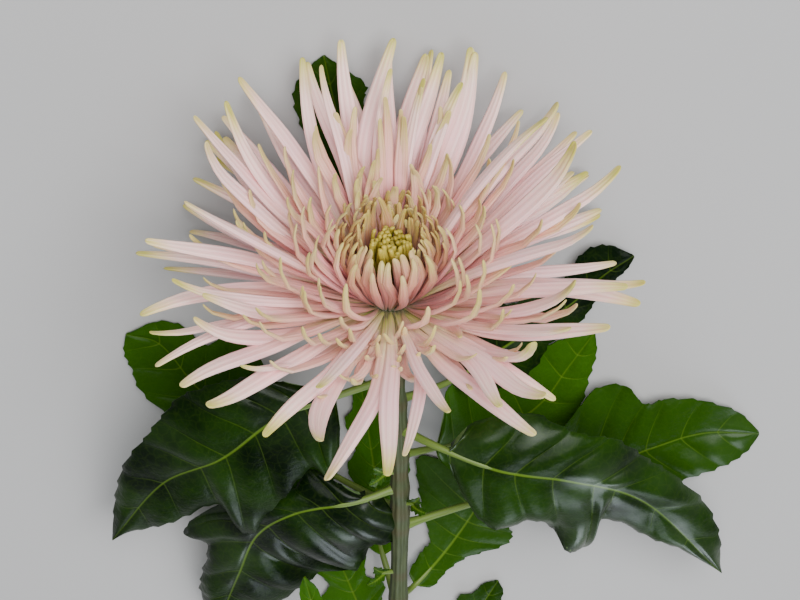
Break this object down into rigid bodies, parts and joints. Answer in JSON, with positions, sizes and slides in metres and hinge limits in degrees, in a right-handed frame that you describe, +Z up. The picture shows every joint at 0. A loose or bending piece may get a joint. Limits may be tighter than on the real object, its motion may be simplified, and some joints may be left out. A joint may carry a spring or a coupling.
{
  "type": "spider chrysanthemum cut flower",
  "caption": "Cut spider chrysanthemum lying on a surface: a large bloom of long pink florets with yellow-green tips on a straight stem with lobed dark green leaves.",
  "frame": {"origin": "on the surface the flower lies on, under the small flat spot at the stem's cut end", "axes": "the bloom lies towards -Y with its face turned 13 degrees up from -Y, the stem's cut end is at +Y, +Z is up from the surface"},
  "size_m": [0.2167, 0.3387, 0.1225],
  "materials": {
    "stem": "smooth plant skin, satin",
    "bract": "satin green bract",
    "ray": "soft satin petal",
    "bud": "matte bud",
    "leaf": "glossy leaf",
    "shoot": "satin young leaf"
  },
  "bodies": {
    "root": {"stem": "stem", "involucre": "bract", "ray_florets": "ray", "centre_florets": "bud", "leaf_01": "leaf", "leaf_02": "leaf", "leaf_03": "leaf", "leaf_04": "leaf", "leaf_05": "leaf", "leaf_06": "leaf", "leaf_07": "leaf", "leaf_08": "leaf", "leaf_09": "leaf", "leaf_10": "leaf", "leaf_11": "leaf", "leaf_12": "leaf", "leaf_13": "leaf", "side_shoot_1": "shoot", "side_shoot_2": "shoot", "side_shoot_3": "shoot"}
  },
  "joints": []
}
